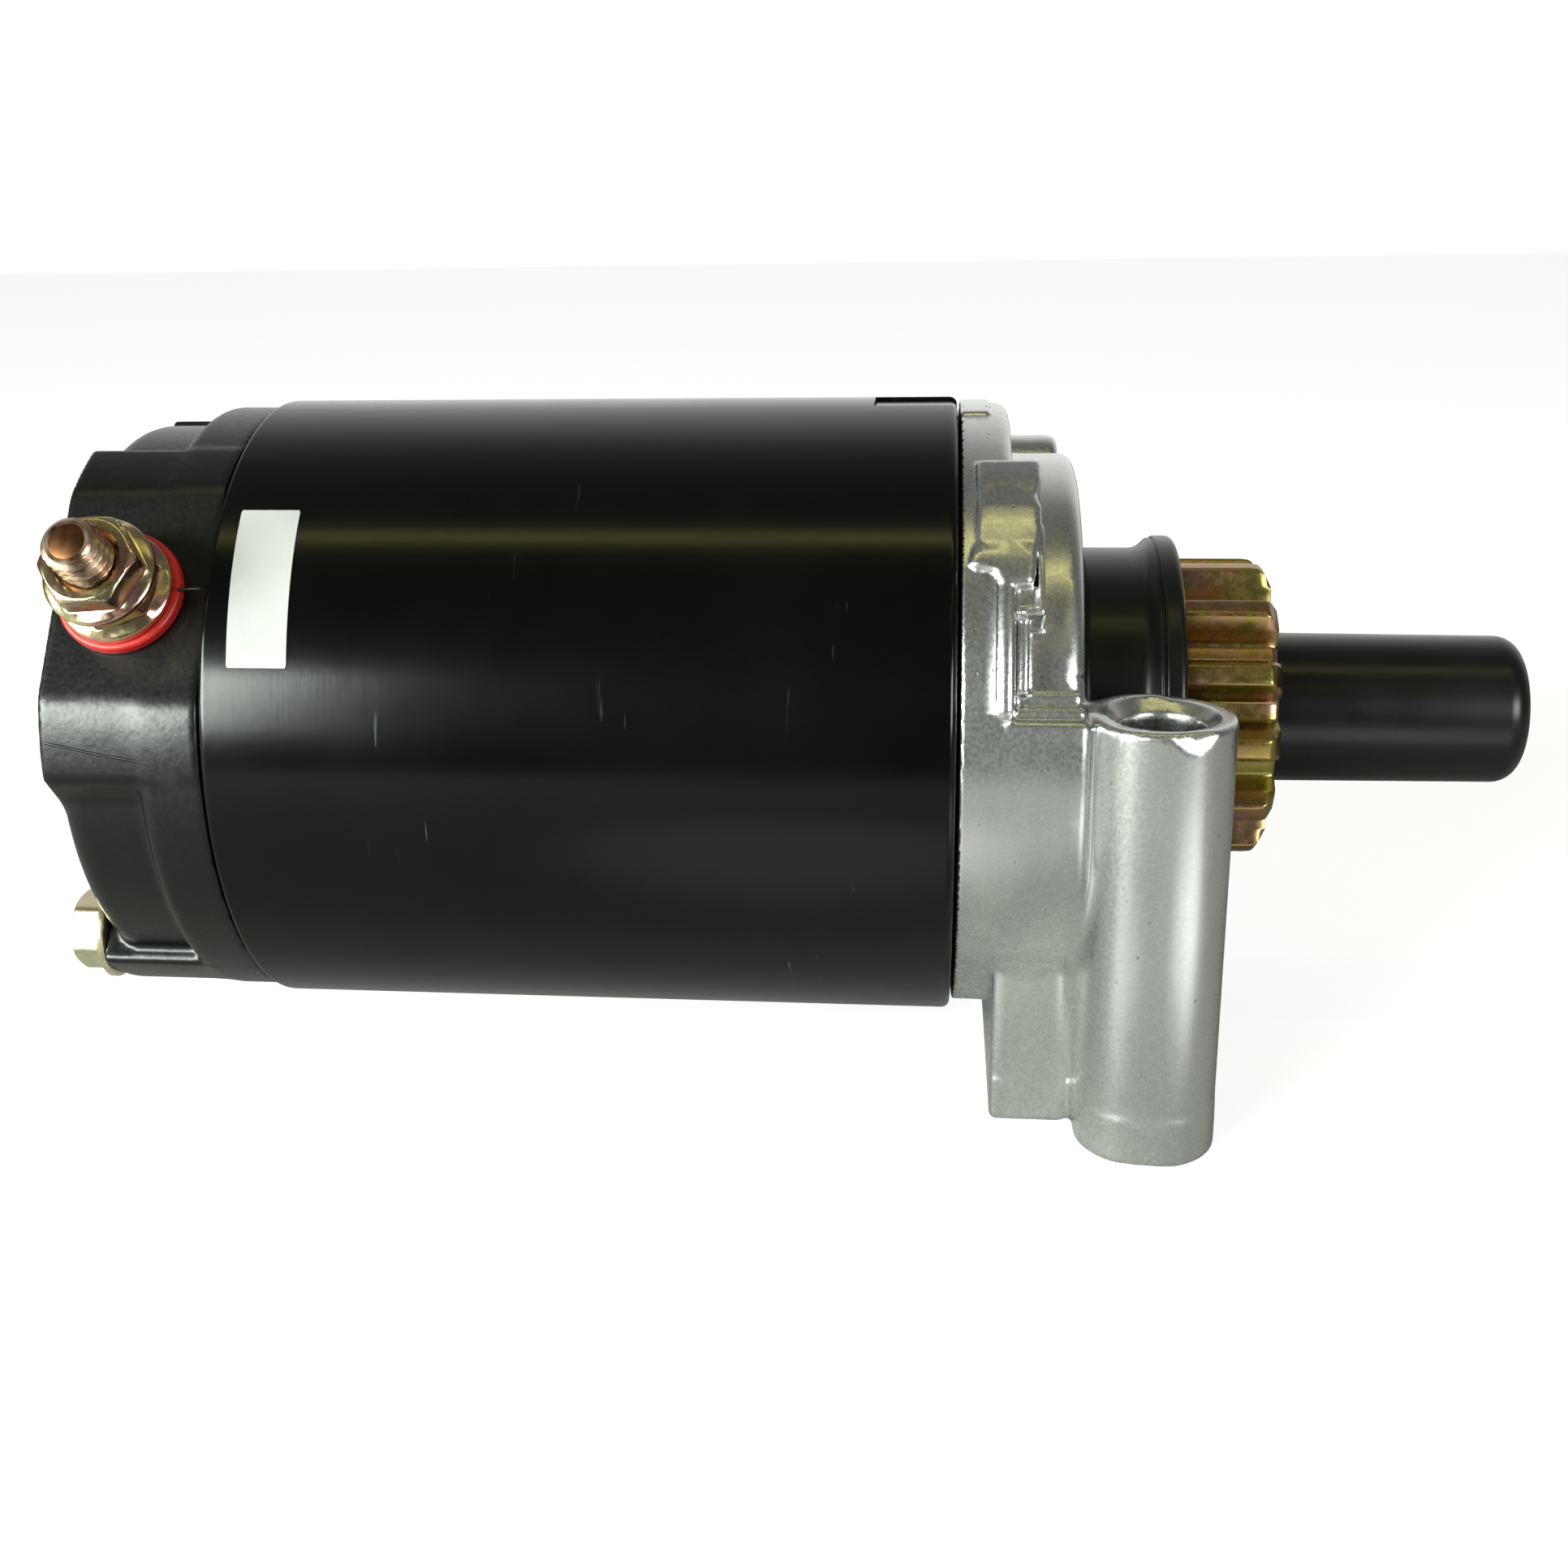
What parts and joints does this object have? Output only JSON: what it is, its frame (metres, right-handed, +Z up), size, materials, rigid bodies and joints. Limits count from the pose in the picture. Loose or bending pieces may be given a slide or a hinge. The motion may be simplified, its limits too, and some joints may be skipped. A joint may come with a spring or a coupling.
{
  "type": "starter motor",
  "caption": "Permanent-magnet starter motor with an inertia drive pinion, a threaded side terminal and a cast end housing with two vertical mounting tubes.",
  "frame": {"origin": "centre of the cast foot pad, on the plane of the mounting tubes' lower ends", "axes": "+X along the armature shaft from the terminal end to the pinion, +Z up along the mounting tubes; the shaft is 43 mm above the origin"},
  "size_m": [0.178, 0.0815, 0.0811],
  "materials": {
    "black_paint": "semi-gloss black paint with a faint orange peel",
    "cast_aluminium": "bright die-cast aluminium, fine pitting",
    "yellow_zinc": "yellow zinc plate with pink and green iridescence",
    "pinion_zinc": "olive and gold yellow-chromate plate",
    "terminal_copper": "coppery brown plated stud",
    "red_insulator": "moulded red insulating washer",
    "label_white": "blank paper label",
    "black_plastic": "smooth black moulded plastic",
    "ferrite": "sintered ferrite",
    "bronze": "sintered bronze",
    "phenolic": "brown moulded phenolic",
    "carbon": "copper-carbon brush block",
    "spring_steel": "drawn spring wire",
    "copper_braid": "braided copper",
    "winding_copper": "varnished copper wire",
    "commutator_copper": "turned copper",
    "shaft_steel": "ground steel",
    "lamination": "stacked electrical steel",
    "rubber": "moulded rubber"
  },
  "bodies": {
    "housing": {"frame_tube": "black_paint", "blank_label": "label_white", "magnet_1": "ferrite", "magnet_2": "ferrite", "magnet_3": "ferrite", "magnet_4": "ferrite", "end_cap": "black_paint", "rear_bushing": "bronze", "brush_plate": "phenolic", "brush_spring_1": "spring_steel", "brush_spring_2": "spring_steel", "brush_spring_3": "spring_steel", "brush_spring_4": "spring_steel", "brush_lead_1": "copper_braid", "brush_lead_2": "copper_braid", "brush_lead_3": "copper_braid", "brush_lead_4": "copper_braid", "terminal_stud": "terminal_copper", "terminal_sleeve": "phenolic", "terminal_insulator": "red_insulator", "terminal_nut_inner": "yellow_zinc", "terminal_nut_outer": "yellow_zinc", "through_bolt_1": "yellow_zinc", "through_bolt_2": "yellow_zinc", "drive_end_housing": "cast_aluminium", "front_bushing": "bronze"},
    "armature": {"armature_shaft": "shaft_steel", "armature_core": "lamination", "armature_winding": "winding_copper", "commutator": "commutator_copper", "commutator_hub": "phenolic", "thrust_washer_rear": "bronze", "thrust_washer_front": "bronze", "drive_cup": "black_paint", "cup_cushion": "rubber", "stop_collar": "shaft_steel", "retaining_ring": "spring_steel", "anti_drift_spring": "spring_steel"},
    "drive_carriage": {"dust_cover_spacer": "shaft_steel", "dust_cover": "black_plastic"},
    "pinion": {"drive_pinion": "pinion_zinc"},
    "brush_body_1": {"brush_1": "carbon"},
    "brush_body_2": {"brush_2": "carbon"},
    "brush_body_3": {"brush_3": "carbon"},
    "brush_body_4": {"brush_4": "carbon"}
  },
  "joints": [
    {"name": "armature_spin", "type": "hinge", "parent": "housing", "child": "armature", "pos_m": [0, 0, 0.043], "axis": [1, 0, 0], "continuous": true},
    {"name": "drive_slide", "type": "slide", "parent": "armature", "child": "drive_carriage", "axis": [1, 0, 0], "range_m": [0, 0.014], "stiffness_N_per_m": 250, "springref_m": -0.008, "deforming": ["anti_drift_spring"]},
    {"name": "pinion_helix", "type": "hinge", "parent": "drive_carriage", "child": "pinion", "pos_m": [0, 0, 0.043], "axis": [1, 0, 0], "range_deg": [0, 63.5]},
    {"name": "brush_1_slide", "type": "slide", "parent": "housing", "child": "brush_body_1", "axis": [0, -0.9848, -0.1736], "range_m": [0, 0.003], "stiffness_N_per_m": 300, "springref_m": -0.01, "deforming": ["brush_spring_1", "brush_lead_1"]},
    {"name": "brush_2_slide", "type": "slide", "parent": "housing", "child": "brush_body_2", "axis": [0, -0.1736, 0.9848], "range_m": [0, 0.003], "stiffness_N_per_m": 300, "springref_m": -0.01, "deforming": ["brush_spring_2", "brush_lead_2"]},
    {"name": "brush_3_slide", "type": "slide", "parent": "housing", "child": "brush_body_3", "axis": [0, 0.9848, 0.1736], "range_m": [0, 0.003], "stiffness_N_per_m": 300, "springref_m": -0.01, "deforming": ["brush_spring_3", "brush_lead_3"]},
    {"name": "brush_4_slide", "type": "slide", "parent": "housing", "child": "brush_body_4", "axis": [0, 0.1736, -0.9848], "range_m": [0, 0.003], "stiffness_N_per_m": 300, "springref_m": -0.01, "deforming": ["brush_spring_4", "brush_lead_4"]}
  ],
  "couplings": [
    {"joint": "pinion_helix", "follows": "drive_slide", "rad_per_m": 78.54}
  ]
}
